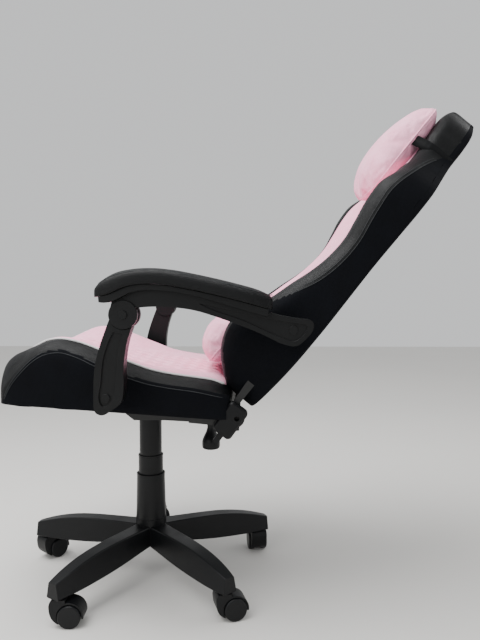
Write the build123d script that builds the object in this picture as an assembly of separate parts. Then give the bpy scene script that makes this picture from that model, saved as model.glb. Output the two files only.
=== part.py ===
"""Reclining gaming chair: swivel star base, gas lift, rocking seat plate, reclining back, linked armrests.

Units are millimetres.  The origin is on the floor under the gas lift's axis.  +Z is up, the sitter faces -Y
and the sitter's left is +X.  The chair is drawn with its back fully reclined, which is value 0 of the recline.
The back is drawn in its own frame: s runs up the back from its tail, t runs from its frame to its front.
"""

from build123d import *
import math
import os

os.makedirs("parts", exist_ok=True)

# ---- driving dimensions -------------------------------------------------------------------------------------
STEM_CIRCLE_R = 295.0       # caster stems stand on this circle
LEG_COUNT = 5
BASE_TURN_DEG = 4.8         # how far the star is turned from the chair's own axes
CASTER_SWIVEL_DEG = (106.0, -170.0, 20.0, 140.0, 92.0)   # where each caster's trail points
WHEEL_R = 25.0
WHEEL_W = 15.8
WHEEL_GAP = 17.4            # between the inner faces of a caster's two wheels
CASTER_TRAIL = 22.0         # stem axis to axle
STEM_R = 5.5
AXLE_R = 3.0
CASTER_H = 2 * WHEEL_R + 10.6   # floor to the top of the caster's hood
LEG_BOTTOM_Z = CASTER_H + 1.9

LIFT_TUBE_R = 25.0
LIFT_TUBE_TOP = 292.0
LIFT_CYL_R = 14.0
ROD_R = 5.0
HUB_R = 38.0
HUB_BOTTOM = LEG_BOTTOM_Z + 16.5
HUB_TOP = HUB_BOTTOM + 62.0
LOWER_COVER_TOP = 252.0
MIDDLE_COVER_TOP = 299.0
COVER_WALL = 2.0
COVER_R = (27.6, 31.0, 34.6)     # outer radii of the upper, middle and lower sleeve at the top
LIFT_DOWN = 70.0                 # how far the seat can sink from where it is drawn
MECH_BOTTOM = 390.0
CUP_TOP = 425.0

SEAT_SLOPE_DEG = 3.9             # the seat's base falls towards the back
SEAT_BASE_Z = 452.0              # underside of the seat above the origin
SEAT_HALF_W = 250.0
SEAT_FRONT = -284.0
SEAT_REAR = 212.0
VALLEY_HALF_W = SEAT_HALF_W - 110.0   # flat part of the seat between its side bolsters
SEAT_FRAME_H = 18.0
TILT_PIVOT = (-70.0, 431.0)      # Y, Z of the rocking hinge
KNOB_Y = 152.0

RECLINE = (222.0, 440.0)         # Y, Z of the back's hinge
RECLINE_UP_DEG = 30.0            # how far the back rises from where it is drawn
BACK_TAIL = (252.0, 469.0)       # Y, Z of the lowest point of the back's rear face
BACK_LEAN_DEG = 39.0             # back's lean from upright
BACK_LEN = 788.0
REAR_FACE_T = -14.0              # t of the back's rear face
REAR_COVER_T = 16.0              # t where the rear cover meets the cushion
BACK_VALLEY_HALF_W = 0.6 * SEAT_HALF_W

ARM_X = SEAT_HALF_W + 50.0       # middle plane of each armrest
ARM_W = 32.0
LINK_LOWER = (-37.0, 496.0)      # Y, Z of the link's pivot on the seat's side
ARM_FRONT = (0.0, 662.0)         # Y, Z of the knuckle joint between link and armrest
ARM_REAR = (335.0, 632.0)        # Y, Z of the armrest's bolt on the back
KNUCKLE_R = 28.5
REAR_PIVOT_PLAY = 2.9            # radial play of the armrest's rear bolt
REAR_MOUNT_X = 1.014 * SEAT_HALF_W   # the back's side at that bolt

CLEAR = 0.3                      # between soft parts and their neighbours
RUN = 0.06                       # radial running clearance of pins
FIT = 0.1                        # radial clearance of fixed shafts

# ---- helpers ------------------------------------------------------------------------------------------------


def smooth(points):
    """Closed face with a smooth outline through the points."""
    return make_face(Spline(*points, periodic=True))


def outline(*runs):
    """Closed face from runs of points: a run of two points is a line, a longer one a smooth curve."""
    edges = [Line(*run) if len(run) == 2 else Spline(*run) for run in runs]
    return make_face(edges)


def across(face, x0, x1):
    """Solid swept sideways from x0 to x1; the face is drawn in (Y, Z)."""
    return extrude(Plane.YZ.offset(x0) * face, x1 - x0)


def rod_x(y, z, r, x0, x1):
    return Plane.YZ.offset(x0) * Pos(y, z) * extrude(Circle(r), x1 - x0)


def rod_z(r, z0, z1, x=0.0, y=0.0):
    return Pos(x, y, z0) * extrude(Circle(r), z1 - z0)


def tube_z(r_out, r_in, z0, z1):
    return rod_z(r_out, z0, z1) - rod_z(r_in, z0 - 1, z1 + 1)


def box(x0, x1, y0, y1, z0, z1):
    return Pos((x0 + x1) / 2, (y0 + y1) / 2, (z0 + z1) / 2) * Box(x1 - x0, y1 - y0, z1 - z0)


def other_side(shape):
    return mirror(shape, about=Plane.YZ)


def save(name, *shapes):
    solids = [s for shape in shapes for s in shape.solids()]
    export_step(solids[0] if len(solids) == 1 else Compound(children=solids), f"parts/{name}.step")


# ---- star base and casters ----------------------------------------------------------------------------------
# stations of a leg: radius, underside and top above LEG_BOTTOM_Z, half width below, half width above
LEG = (
    (8.0, 17.5, 61.5, 30.0, 25.0),
    (70.0, 11.5, 62.5, 26.5, 20.0),
    (150.0, 3.0, 62.5, 24.5, 18.0),
    (STEM_CIRCLE_R - 70, 0.0, 57.0, 23.5, 17.0),
    (STEM_CIRCLE_R - 12, 0.0, 45.0, 22.0, 15.0),
    (STEM_CIRCLE_R + 22, 0.0, 35.0, 18.0, 11.0),
)
LEG_WALL = 4.0
LEG_RIBS = (125.0, 180.0, 235.0)
SOCKET_R = 15.0
STEM_TOP = LEG_BOTTOM_Z + 33.5
STEM_LOW = CASTER_H - 22.6


def leg_section(r, low, high, wide, narrow):
    low, high = LEG_BOTTOM_Z + low, LEG_BOTTOM_Z + high
    corners = [(-wide, low), (wide, low), (narrow, high), (-narrow, high)]
    return Plane(origin=(r, 0, 0), x_dir=(0, 1, 0), z_dir=(1, 0, 0)) * make_face(Polyline(*corners, close=True))


def leg():
    outer = loft([leg_section(*station) for station in LEG])
    long_edges = [e for e in outer.edges() if e.bounding_box().size.X > 200]
    outer = fillet(long_edges, 3.0)
    wall = LEG_WALL
    stations = [(r, low - 2, high - wall, wide - wall, narrow - wall) for r, low, high, wide, narrow in LEG[1:5]]
    hollow = loft([leg_section(*station) for station in stations])
    rib = LEG_WALL - 1
    for r in LEG_RIBS:
        hollow -= box(r - rib / 2, r + rib / 2, -40, 40, LEG_BOTTOM_Z + 8, LEG_BOTTOM_Z + 80)
    hollow -= rod_z(SOCKET_R, LEG_BOTTOM_Z - 10, LEG_BOTTOM_Z + 80, x=STEM_CIRCLE_R)
    body = outer - hollow
    return body - rod_z(STEM_R + FIT, LEG_BOTTOM_Z - 10, STEM_TOP + 1, x=STEM_CIRCLE_R)


def star_base():
    hub = rod_z(HUB_R, HUB_BOTTOM, HUB_TOP)
    for n in range(LEG_COUNT):
        hub += Rot(Z=BASE_TURN_DEG + 36 + 72 * n) * leg()
    return hub - rod_z(LIFT_TUBE_R + FIT, HUB_BOTTOM - 20, HUB_TOP + 20)


def at_stem(n):
    """Placement of caster n: stem on the leg's end, trail along local +X."""
    a = math.radians(BASE_TURN_DEG + 36 + 72 * n)
    return Pos(STEM_CIRCLE_R * math.cos(a), STEM_CIRCLE_R * math.sin(a), 0) * Rot(Z=CASTER_SWIVEL_DEG[n])


HOOD_R = WHEEL_R + 5.0
HOOD_HALF_W = 20.0


def side_plate(face, y0, y1):
    """Sweeps a face drawn in (X, Z) from y0 to y1."""
    return extrude(Plane.XZ.offset(-y1) * face, y1 - y0)


def caster_hood():
    axle_at = Pos(CASTER_TRAIL, WHEEL_R)
    nose = outline(
        [(14.0, CASTER_H), (-15.0, CASTER_H)],
        [(-15.0, CASTER_H), (-19.6, CASTER_H - 7.6), (-20.0, 40.0), (-16.5, 25.0), (-8.0, 14.0), (0.0, 9.5)],
        [(0.0, 9.5), (14.0, 9.5)],
        [(14.0, 9.5), (14.0, CASTER_H)],
    )
    cap = axle_at * Circle(HOOD_R)
    below = Pos(CASTER_TRAIL, WHEEL_R - 23) * Rectangle(4 * HOOD_R, 38)
    shape = nose + (cap - below)
    hood = side_plate(shape, -HOOD_HALF_W, HOOD_HALF_W)
    web = WHEEL_GAP / 2 - 0.6
    for y0, y1 in ((web, HOOD_HALF_W + 1), (-HOOD_HALF_W - 1, -web)):
        hood -= side_plate(axle_at * Circle(WHEEL_R + 1.4), y0, y1)
    hood += side_plate(axle_at * Circle(9.0), -web, web)
    hood -= side_plate(axle_at * Circle(AXLE_R + FIT), -30, 30)
    return hood - rod_z(STEM_R + RUN, STEM_LOW - 4, CASTER_H + 10)


def wheel(side):
    """One nylon wheel; side is 1 or -1 along the axle."""
    inner = WHEEL_GAP / 2
    outer = inner + WHEEL_W
    disc = side_plate(Circle(WHEEL_R), inner, outer)
    disc = fillet(disc.edges().sort_by(Axis.Y)[-1], 4.0)
    disc = chamfer(disc.edges().sort_by(Axis.Y)[0], 1.0)
    body = disc - side_plate(Circle(AXLE_R + RUN), inner - 1, outer - 2)
    if side < 0:
        body = mirror(body, about=Plane.XZ)
    return Pos(CASTER_TRAIL, 0, WHEEL_R) * body


def casters():
    axle_end = WHEEL_GAP / 2 + WHEEL_W - 3.0
    for n in range(LEG_COUNT):
        place = at_stem(n)
        axle = side_plate(Pos(CASTER_TRAIL, WHEEL_R) * Circle(AXLE_R), -axle_end, axle_end)
        save(f"caster_{n + 1}_hood", place * caster_hood(), place * axle)
        save(f"caster_{n + 1}_wheel_a", place * wheel(1))
        save(f"caster_{n + 1}_wheel_b", place * wheel(-1))
    stem = rod_z(STEM_R, STEM_LOW, STEM_TOP) + rod_z(9.0, CASTER_H + 0.3, LEG_BOTTOM_Z - 0.2)
    save("caster_stems", *[at_stem(n) * stem for n in range(LEG_COUNT)])


# ---- gas lift and its sleeves -------------------------------------------------------------------------------
ROD_BOTTOM = HUB_BOTTOM - 5.0
TUBE_FLOOR_T = 4.0
PISTON_Z = 232.0
CYL_BOTTOM = 182.0
CYL_WALL = 2.0
TAPER_START = MECH_BOTTOM - 8.0
VALVE_R = 3.6
VALVE_TOP = CUP_TOP + 5.0
BALL_COUNT = 8
TAPER_IN = 1.0


def taper_z():
    """Middle height and length of the cylinder's seat in the housing."""
    return (TAPER_START + CUP_TOP) / 2, CUP_TOP - TAPER_START


def gas_lift():
    tube_bottom = HUB_BOTTOM + 1
    tube = tube_z(LIFT_TUBE_R, LIFT_TUBE_R - 1.8, tube_bottom, LIFT_TUBE_TOP)
    tube += tube_z(LIFT_TUBE_R - 1.0, ROD_R + 0.5, tube_bottom, tube_bottom + TUBE_FLOOR_T)
    save("lift_outer_tube", tube)
    bearing_z = tube_bottom + TUBE_FLOOR_T + 0.05
    races = [tube_z(12.0, ROD_R + 0.5, z, z + 2) for z in (bearing_z, bearing_z + 6)]
    balls = [Rot(Z=360 / BALL_COUNT * n) * Pos(8.8, 0, bearing_z + 4) * Sphere(1.95) for n in range(BALL_COUNT)]
    bush = tube_z(LIFT_TUBE_R - 1.8 - FIT, LIFT_CYL_R + RUN, LIFT_TUBE_TOP - 70, LIFT_TUBE_TOP + 3)
    save("lift_bearings", *races, *balls, bush)
    rod = rod_z(ROD_R, ROD_BOTTOM, PISTON_Z) + rod_z(LIFT_CYL_R - CYL_WALL - RUN, PISTON_Z, PISTON_Z + 8)
    rod += rod_z(11.0, bearing_z + 8.05, bearing_z + 11.0)
    rod -= tube_z(ROD_R + 1, ROD_R - 1.0, ROD_BOTTOM + 2.5, ROD_BOTTOM + 4.0)
    clip = tube_z(8.5, ROD_R - 0.9, ROD_BOTTOM + 2.6, ROD_BOTTOM + 3.9)
    save("lift_rod", rod, clip)
    cylinder = rod_z(LIFT_CYL_R, CYL_BOTTOM, TAPER_START)
    taper_mid, taper_h = taper_z()
    cylinder += Pos(0, 0, taper_mid) * Cone(LIFT_CYL_R, LIFT_CYL_R - TAPER_IN, taper_h)
    cylinder -= rod_z(LIFT_CYL_R - CYL_WALL, CYL_BOTTOM + 6, TAPER_START - 6)
    cylinder -= rod_z(ROD_R + RUN, CYL_BOTTOM - 1, CYL_BOTTOM + 7)
    cylinder -= rod_z(VALVE_R + RUN, TAPER_START - 7, CUP_TOP + 1)
    save("lift_cylinder", cylinder)
    save("lift_valve_pin", rod_z(VALVE_R, TAPER_START + 4, VALVE_TOP))



def sleeve(r_top, r_bottom, z0, z1, lip):
    """Tapered plastic sleeve with a small rolled lip at its top."""
    outer = Pos(0, 0, (z0 + z1) / 2) * Cone(r_bottom, r_top, z1 - z0)
    inner = Pos(0, 0, (z0 + z1) / 2) * Cone(r_bottom - COVER_WALL, r_top - COVER_WALL, z1 - z0 + 0.01)
    ring = tube_z(r_top + lip, r_top - COVER_WALL, z1 - 3, z1)
    return outer - inner + ring


def cylinder_sleeve(r, z0, z1):
    return tube_z(r, r - COVER_WALL + 0.2, z0, z1)


def lift_covers():
    upper, middle, lower = COVER_R
    save("cover_upper", cylinder_sleeve(upper, MIDDLE_COVER_TOP - 24, MECH_BOTTOM - 0.4))
    mid = tube_z(middle - 0.6, middle - COVER_WALL, LOWER_COVER_TOP - 30, MIDDLE_COVER_TOP)
    mid += tube_z(middle, middle - COVER_WALL, MIDDLE_COVER_TOP - 4, MIDDLE_COVER_TOP)
    save("cover_middle", mid)
    save("cover_lower", sleeve(lower, HUB_R - 0.8, HUB_TOP + 0.2, LOWER_COVER_TOP, 0.6))


# ---- rocking mechanism --------------------------------------------------------------------------------------
HOUSING_HALF_W = 30.0
HOUSING_WALL = 3.0
ARM_TOP_Z = 399.0
PLATE_T = 3.0
PLATE_EAR_T = 3.0
SPRING_R = 15.0
SPRING_WIRE_R = 2.6
SPRING_TURNS = 3.5
SCREW_R = 5.0
PIVOT_R = 5.0
LEVER_Y = 16.0
LEVER_TURN_X = -24.0         # the lift lever rocks about this X, beside the valve pin
LEVER_Z = VALVE_TOP + 2.4
LEVER_TURN_Z = LEVER_Z - 1.4
LEVER_PIN_R = 1.8
LEVER_ROD_R = 3.5
PLATE_HOLES = [(x, y) for x in (-75, 75) for y in (-60, 140)]


def seat_base_z(y):
    return SEAT_BASE_Z - y * math.tan(math.radians(SEAT_SLOPE_DEG))


def tilt_housing():
    pivot_y, pivot_z = TILT_PIVOT
    side = outline(
        [(pivot_y - 13, pivot_z - 4), (-36.0, MECH_BOTTOM)],
        [(-36.0, MECH_BOTTOM), (40.0, MECH_BOTTOM)],
        [(40.0, MECH_BOTTOM), (118.0, 386.0)],
        [(118.0, 386.0), (172.0, 386.0)],
        [(172.0, 386.0), (178.0, 391.0)],
        [(178.0, 391.0), (178.0, ARM_TOP_Z)],
        [(178.0, ARM_TOP_Z), (95.0, ARM_TOP_Z + 2)],
        [(95.0, ARM_TOP_Z + 2), (38.0, CUP_TOP)],
        [(38.0, CUP_TOP), (-40.0, CUP_TOP)],
        [(-40.0, CUP_TOP), (pivot_y + 8, pivot_z + 9)],
        [(pivot_y + 8, pivot_z + 9), (pivot_y - 10, pivot_z + 8)],
        [(pivot_y - 10, pivot_z + 8), (pivot_y - 13, pivot_z - 4)],
    )
    shell = across(side, -HOUSING_HALF_W, HOUSING_HALF_W)
    wall = HOUSING_HALF_W - HOUSING_WALL
    shell -= box(-wall, wall, pivot_y - 20, -27, MECH_BOTTOM + 4, pivot_z + 20)
    shell -= box(-wall, wall, 27, 130, MECH_BOTTOM + 4, pivot_z + 20)
    shell -= rod_x(pivot_y, pivot_z, PIVOT_R + RUN, -50, 50)
    shell -= box(-HOUSING_HALF_W - 1, -10, LEVER_Y - 8, LEVER_Y + 8, CUP_TOP - 8, CUP_TOP + 1)
    taper_mid, taper_h = taper_z()
    shell -= Pos(0, 0, taper_mid) * Cone(LIFT_CYL_R + FIT, LIFT_CYL_R - TAPER_IN + FIT, taper_h + 0.4)
    for y0, y1 in ((LEVER_Y - 14, LEVER_Y - 10), (LEVER_Y + 10, LEVER_Y + 14)):
        shell += box(LEVER_TURN_X - 5, LEVER_TURN_X + 5, y0, y1, CUP_TOP - 6, LEVER_TURN_Z + 5)
    shell += side_plate(Pos(LEVER_TURN_X, LEVER_TURN_Z) * Circle(LEVER_PIN_R), LEVER_Y - 13, LEVER_Y + 13)
    return shell - rod_z(SCREW_R + RUN, 370, 410, y=KNOB_Y)



def mechanism():
    save("tilt_housing", tilt_housing())
    slope = Rot(X=-SEAT_SLOPE_DEG)
    pivot_y, pivot_z = TILT_PIVOT
    ear_x0 = HOUSING_HALF_W + 0.5
    plate = Pos(0, 0, SEAT_BASE_Z - 0.3) * slope * box(-95, 95, -92, 172, -PLATE_T, 0)
    ear = outline(
        [(pivot_y - 14, seat_base_z(pivot_y - 14) - 2), (pivot_y - 12, pivot_z - 10)],
        [(pivot_y - 12, pivot_z - 10), (pivot_y + 10, pivot_z - 10)],
        [(pivot_y + 10, pivot_z - 10), (pivot_y + 55, seat_base_z(pivot_y + 55) - 2)],
        [(pivot_y + 55, seat_base_z(pivot_y + 55) - 2), (pivot_y - 14, seat_base_z(pivot_y - 14) - 2)],
    )
    for x0, x1 in ((ear_x0, ear_x0 + PLATE_EAR_T), (-ear_x0 - PLATE_EAR_T, -ear_x0)):
        plate += across(ear, x0, x1)
    plate -= rod_x(pivot_y, pivot_z, PIVOT_R + FIT, -50, 50)
    for x, y in PLATE_HOLES:
        plate -= Pos(x, y, seat_base_z(y)) * slope * Cylinder(3.0 + FIT, 60)
    save("seat_plate", plate)
    pin = rod_x(pivot_y, pivot_z, PIVOT_R, -ear_x0 - 8, ear_x0 + 8)
    bolts = []
    for x, y in PLATE_HOLES:
        seat_at = Pos(x, y, seat_base_z(y)) * slope
        head = seat_at * Pos(0, 0, -0.3 - PLATE_T - 2.7) * Cylinder(6.5, 5.4)
        shank = seat_at * Pos(0, 0, 3) * Cylinder(3.0, 18)
        bolts.append(head + shank)
    save("mechanism_fasteners", pin, *bolts)
    knob = revolve(
        outline(
            [(0.0, 313.0), (16.0, 313.0)],
            [(16.0, 313.0), (21.0, 315.5), (22.5, 323.0), (22.0, 333.0), (18.5, 343.0), (12.0, 357.0),
             (9.5, 366.0)],
            [(9.5, 366.0), (9.5, 384.5)],
            [(9.5, 384.5), (SCREW_R + 0.02, 384.5)],
            [(SCREW_R + 0.02, 384.5), (SCREW_R + 0.02, 330.0)],
            [(SCREW_R + 0.02, 330.0), (0.0, 330.0)],
            [(0.0, 330.0), (0.0, 313.0)],
        ).rotate(Axis.X, 90),
        Axis.Z,
        360,
    )
    save("tension_knob", Pos(0, KNOB_Y, 0) * knob, rod_z(SCREW_R, 331, ARM_TOP_Z, y=KNOB_Y))
    foot, top = ARM_TOP_Z + 1.0, seat_base_z(KNOB_Y) - 0.3 - PLATE_T - 1.6
    turns_h = top - foot - 2 * SPRING_WIRE_R
    path = Helix(pitch=turns_h / SPRING_TURNS, height=turns_h, radius=SPRING_R)
    wire = sweep(Plane(origin=path @ 0, z_dir=path % 0) * Circle(SPRING_WIRE_R), path, is_frenet=True)
    save("tilt_spring", Pos(0, KNOB_Y, foot + SPRING_WIRE_R) * wire)


def lift_lever():
    """Flat tongue over the valve pin, then a bent rod that runs out to the sitter's right."""
    tongue = box(-34, 6, LEVER_Y - 8, LEVER_Y + 8, LEVER_Z - 2, LEVER_Z)
    tongue += box(-8, 6, -8, LEVER_Y, LEVER_Z - 2, LEVER_Z)
    path = FilletPolyline((-30, LEVER_Z - 5.5), (-60, LEVER_Z - 6.5), (-150, 408), (-236, 366), radius=40)
    wire = Plane.XZ.offset(-LEVER_Y) * path
    rod = sweep(Plane(origin=wire @ 0, z_dir=wire % 0) * Circle(LEVER_ROD_R), wire)
    rod += box(-36, -28, LEVER_Y - 5, LEVER_Y + 5, LEVER_Z - 8, LEVER_Z)
    turn = Pos(LEVER_TURN_X, LEVER_TURN_Z)
    barrel = side_plate(turn * Circle(3.4), LEVER_Y - 9.5, LEVER_Y + 9.5)
    hole = side_plate(turn * Circle(LEVER_PIN_R + RUN), LEVER_Y - 30, LEVER_Y + 30)
    save("lift_lever", tongue + rod + barrel - hole)
    start = wire @ 1
    along = (wire % 1).normalized()
    grip_plane = Plane(origin=start - along * 18, x_dir=(0, 1, 0), z_dir=along)
    neck = grip_plane * RectangleRounded(16, 12, 4)
    wide = grip_plane.offset(26) * RectangleRounded(40, 11, 4)
    end = grip_plane.offset(72) * RectangleRounded(46, 9, 4)
    paddle = loft([neck, wide, end], ruled=True)
    paddle -= sweep(Plane(origin=wire @ 0, z_dir=wire % 0) * Circle(LEVER_ROD_R + FIT), wire)
    save("lift_lever_paddle", paddle)


# ---- seat ---------------------------------------------------------------------------------------------------
# side outlines of the seat's top, Y and Z: along a bolster's outer edge, its crest and the middle
SEAT_EDGE = [
    (-278.0, 489.0), (-262.0, 520.0), (-238.0, 553.0), (-211.0, 581.0), (-184.0, 596.0), (-160.0, 600.0),
    (-120.0, 593.0), (-81.0, 578.0), (-12.0, 550.0), (34.0, 534.0), (81.0, 524.0), (133.0, 518.0), (172.0, 514.0),
    (200.0, 501.0),
]
SEAT_CREST = [
    (-283.0, 520.0), (-276.0, 551.0), (-264.0, 564.0), (-240.0, 575.0), (-208.0, 590.0), (-184.0, 599.0),
    (-160.0, 604.0), (-120.0, 598.0), (-81.0, 583.0), (-12.0, 555.0), (34.0, 538.0), (81.0, 528.0), (133.0, 521.0),
    (200.0, 504.0),
]
SEAT_MIDDLE = [
    (-280.0, 520.0), (-274.0, 551.0), (-262.0, 564.0), (-240.0, 572.0), (-200.0, 573.0), (-150.0, 564.0),
    (-83.0, 549.0), (0.0, 535.0), (81.0, 524.0), (133.0, 518.0), (172.0, 514.0), (198.0, 503.0),
]
CHEEK_W = 30.0               # the outer strip over which a bolster falls from its crest to its edge
SEAT_PAD_T = 42.0
RECESS_HALF_W = SEAT_HALF_W - 32.0
RECESS_Y = (-252.0, 186.0)
FRAME_BAR = 26.0
WEB_COUNT = 5
PLATE_IN_X = SEAT_HALF_W - 36.0   # inner face of each recliner's seat plate


def seat_block(top, front_z):
    """Side outline of the seat under a top curve, closed along its sloping base."""
    first, last = top[0], top[-1]
    front_low = (SEAT_FRONT + 4, seat_base_z(SEAT_FRONT) + 12)
    return outline(
        list(top),
        [last, (SEAT_REAR, 486.0), (SEAT_REAR - 2, 455.0)],
        [(SEAT_REAR - 2, 455.0), (SEAT_REAR - 12, seat_base_z(SEAT_REAR - 12))],
        [(SEAT_REAR - 12, seat_base_z(SEAT_REAR - 12)), (SEAT_FRONT + 16, seat_base_z(SEAT_FRONT + 16))],
        [(SEAT_FRONT + 16, seat_base_z(SEAT_FRONT + 16)), front_low],
        [front_low, (SEAT_FRONT, front_z), first],
    )


def bolsters():
    """The seat's full-width block, with each outer strip falling from the crest to the edge."""
    crest, edge = seat_block(SEAT_CREST, 500.0), seat_block(SEAT_EDGE, 482.0)
    inner = SEAT_HALF_W - CHEEK_W
    cheek = loft([Plane.YZ.offset(inner) * crest, Plane.YZ.offset(SEAT_HALF_W) * edge], ruled=True)
    return across(crest, -inner, inner) + cheek + other_side(cheek)


def seat():
    middle = across(seat_block(SEAT_MIDDLE, 500.0), -VALLEY_HALF_W, VALLEY_HALF_W)
    low, high = (Pos(0, -40) * Rectangle(2 * half, 600) for half in (VALLEY_HALF_W, VALLEY_HALF_W + 52))
    valley_cut = loft([Plane.XY.offset(500) * low, Plane.XY.offset(620) * high], ruled=True)
    black = (bolsters() - valley_cut) + middle
    on_base = Pos(0, 0, SEAT_BASE_Z) * Rot(X=-SEAT_SLOPE_DEG)
    recess = on_base * box(-RECESS_HALF_W, RECESS_HALF_W, *RECESS_Y, -20, SEAT_FRAME_H + 4)
    pad_top = SEAT_MIDDLE[4:]
    pad_low = [(y, z - SEAT_PAD_T) for y, z in reversed(pad_top)]
    pad_face = outline(pad_top, [pad_top[-1], pad_low[0]], pad_low, [pad_low[-1], pad_top[0]])
    half = VALLEY_HALF_W - 4
    pad = across(pad_face, -half, half)
    grown = across(pad_face, -half - CLEAR, half + CLEAR)
    pocket = grown + Pos(0, 0, 30) * grown + Pos(0, -CLEAR, -CLEAR) * grown + Pos(0, CLEAR, -CLEAR) * grown
    hy, hz = RECLINE
    recliner_room = box(PLATE_IN_X - 1, PLATE_IN_X + 28, hy - 56, hy + 48, hz - 67, hz + 35)
    plate_room = box(PLATE_IN_X + 3.3, PLATE_IN_X + 10.3, hy - 38, hy + 38, hz - 20, hz + 100)
    for room in (recliner_room, plate_room):
        black -= room
        black -= other_side(room)
    save("seat_cushion_black", black - recess - pocket)
    save("seat_cushion_pink", pad)
    gap = CLEAR + 1.0
    y0, y1 = RECESS_Y
    bar = FRAME_BAR
    frame = box(-RECESS_HALF_W + gap, RECESS_HALF_W - gap, y0 + gap, y1 - gap, 0.5, SEAT_FRAME_H)
    frame -= box(-RECESS_HALF_W + bar, RECESS_HALF_W - bar, y0 + bar, y1 - bar, -1, SEAT_FRAME_H + 1)
    for x in (-75, 75):
        frame += box(x - 16, x + 16, y0 + bar - 1, y1 - bar + 1, 0.5, 8.5)
    frame = on_base * frame
    for x, y in PLATE_HOLES:
        frame -= Pos(x, y, seat_base_z(y)) * Rot(X=-SEAT_SLOPE_DEG) * Cylinder(3.0 + FIT, 80)
    save("seat_frame", frame)
    half = RECESS_HALF_W - bar / 2
    web = on_base * box(-half, half, y0 + 38, y0 + 86, SEAT_FRAME_H + 0.3, SEAT_FRAME_H + 2.3)
    along = (on_base * Pos(0, 78, 0)).position - on_base.position
    save("seat_webbing", *[Pos(along * n) * web for n in range(WEB_COUNT)])


# ---- recliner -----------------------------------------------------------------------------------------------
RECL_T = 4.0
RECL_GAP = 0.6
RECL_PIN_R = 7.0
CROSS_R = 5.0
COVER_T = 17.0
COVER_SIZE = (74.0, 46.0)
COVER_TURN_DEG = 54.0


def back_point(s, t):
    """(Y, Z) of a point of the back's own frame."""
    lean = math.radians(BACK_LEAN_DEG)
    u = (math.sin(lean), math.cos(lean))
    n = (-math.cos(lean), math.sin(lean))
    return (BACK_TAIL[0] + s * u[0] + t * n[0], BACK_TAIL[1] + s * u[1] + t * n[1])


def back_plane(x=0.0):
    lean = math.radians(BACK_LEAN_DEG)
    return Plane(origin=(x, *BACK_TAIL), x_dir=(0, math.sin(lean), math.cos(lean)), z_dir=(1, 0, 0))


def back_across(face, x0, x1):
    """Solid swept sideways; the face is drawn in the back's (s, t)."""
    return extrude(back_plane(x0) * face, x1 - x0)


def recliner():
    hy, hz = RECLINE
    base_y = 118.0
    lower = outline(
        [(base_y, seat_base_z(base_y) - 0.5), (hy - 6, seat_base_z(hy - 6) - 0.5)],
        [(hy - 6, seat_base_z(hy - 6) - 0.5), (hy + 15, hz + 7), (hy + 15, hz - 11), (hy + 2, hz - 24),
         (hy - 20, hz - 22)],
        [(hy - 20, hz - 22), (base_y, seat_base_z(base_y) - 18)],
        [(base_y, seat_base_z(base_y) - 18), (base_y, seat_base_z(base_y) - 0.5)],
    )
    x_in = PLATE_IN_X
    plate = across(lower, x_in, x_in + RECL_T)
    on_base = Pos(0, 0, SEAT_BASE_Z - 0.5) * Rot(X=-SEAT_SLOPE_DEG)
    plate += on_base * box(x_in - 26, x_in + RECL_T, base_y, hy - 10, -RECL_T, 0)
    plate += rod_x(hy, hz, RECL_PIN_R, x_in + 0.5, x_in + 2 * RECL_T + RECL_GAP + 1.2)
    plate -= rod_x(hy, hz, CROSS_R + RUN, x_in - 5, x_in + 30)
    save("recliner_seat_plates", plate, other_side(plate))
    x_out = x_in + RECL_T + RECL_GAP
    sh, th = RECLINE_ST
    arm = outline(
        [(sh - 20, th - 22), (sh - 30, th - 6), (sh - 30, th + 10), (sh - 16, th + 24)],
        [(sh - 16, th + 24), (60.0, 39.0)],
        [(60.0, 39.0), (150.0, 39.0)],
        [(150.0, 39.0), (150.0, 19.0)],
        [(150.0, 19.0), (-12.0, 19.0)],
        [(-12.0, 19.0), (sh - 20, th - 22)],
    )
    upper = back_across(arm, x_out, x_out + RECL_T)
    upper += back_across(Pos(sh - 42, th + 4) * Rectangle(34, 11), x_out, x_out + RECL_T)
    upper -= rod_x(hy, hz, RECL_PIN_R + RUN, x_in, x_in + 30)
    save("recliner_back_plates", upper, other_side(upper))
    cover_x = x_out + RECL_T + 1.0
    pin_end = x_in + 2 * RECL_T + RECL_GAP + 1.2
    place = Pos(hy - 14, hz - 5) * Rot(Z=COVER_TURN_DEG)
    length, width = COVER_SIZE
    cover = across(place * RectangleRounded(length, width, 10), cover_x, cover_x + COVER_T)
    cover = chamfer(cover.faces().sort_by(Axis.X)[-1].edges(), 4.0)
    cover += across(place * Pos(-length / 2 - 7, -1) * RectangleRounded(28, 13, 4), cover_x + 3, cover_x + 12)
    cover -= across(place * RectangleRounded(length - 6, width - 6, 7), cover_x - 1, cover_x + COVER_T - 3)
    cover += rod_x(hy, hz, 11.0, pin_end, cover_x + COVER_T - 2)
    cover -= rod_x(hy, hz, CROSS_R + 0.5, cover_x - 5, cover_x + 40)
    save("recliner_covers", cover, other_side(cover))


def back_st(y, z):
    """The back's own (s, t) of a point given as (Y, Z)."""
    lean = math.radians(BACK_LEAN_DEG)
    dy, dz = y - BACK_TAIL[0], z - BACK_TAIL[1]
    return (dy * math.sin(lean) + dz * math.cos(lean), -dy * math.cos(lean) + dz * math.sin(lean))


RECLINE_ST = back_st(*RECLINE)


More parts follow.
